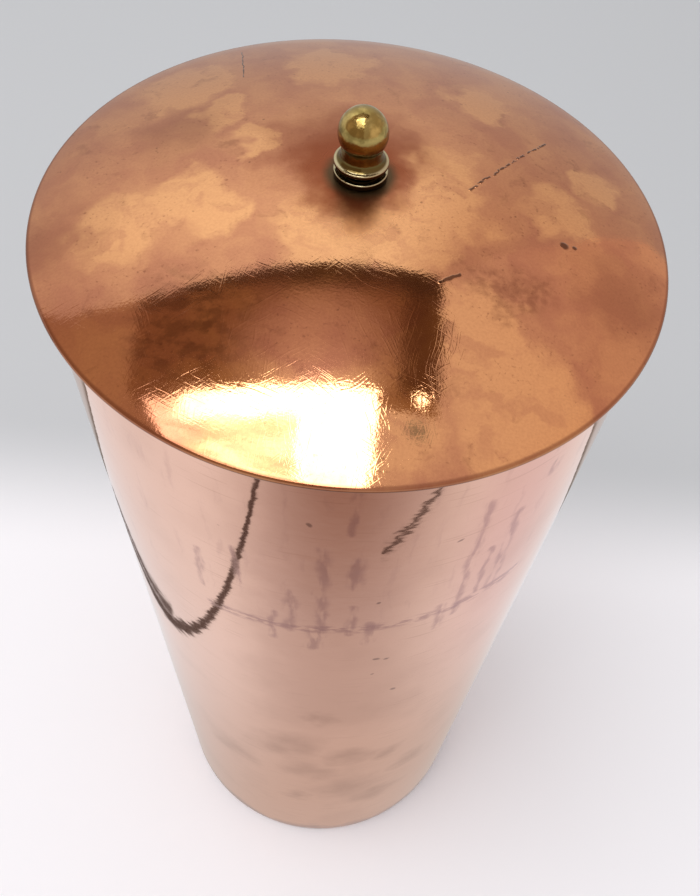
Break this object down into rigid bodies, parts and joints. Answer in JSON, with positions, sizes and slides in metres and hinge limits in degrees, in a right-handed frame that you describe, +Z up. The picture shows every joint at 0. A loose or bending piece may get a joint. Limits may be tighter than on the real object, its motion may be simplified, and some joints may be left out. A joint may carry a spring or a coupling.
{
  "type": "lidded copper water jug",
  "caption": "Tall tapered copper water vessel with no handle or spout, a hemmed mouth and a lift-off domed lid with a brass ball knob.",
  "frame": {"origin": "centre of the foot, on the surface the jug stands on", "axes": "+Z up along the jug's axis, from foot to knob; +Y away from the front view; the jug is round, so X and Y are free"},
  "size_m": [0.12, 0.12, 0.2852],
  "materials": {
    "polished_copper": "copper sheet polished to a mirror, with fine scratches round the wall and mauve tarnish",
    "aged_copper": "hand-buffed copper with cloudy oxide, dark specks and one long scratch",
    "turned_brass": "turned and polished brass, dark in the grooves",
    "tin_solder": "dull grey tin solder, wiped smooth",
    "plated_steel": "zinc-plated steel"
  },
  "bodies": {
    "vessel": {"body_shell": "polished_copper", "base_plate": "polished_copper", "base_solder_ring": "tin_solder"},
    "lid": {"lid_dome": "aged_copper", "lid_collar": "aged_copper", "collar_solder_ring": "tin_solder", "knob": "turned_brass", "knob_washer": "turned_brass", "inner_washer": "plated_steel", "knob_screw": "plated_steel"}
  },
  "joints": [
    {"name": "lid_lift", "type": "slide", "parent": "vessel", "child": "lid", "axis": [0, 0, 1], "range_m": [0, 0.15]}
  ]
}
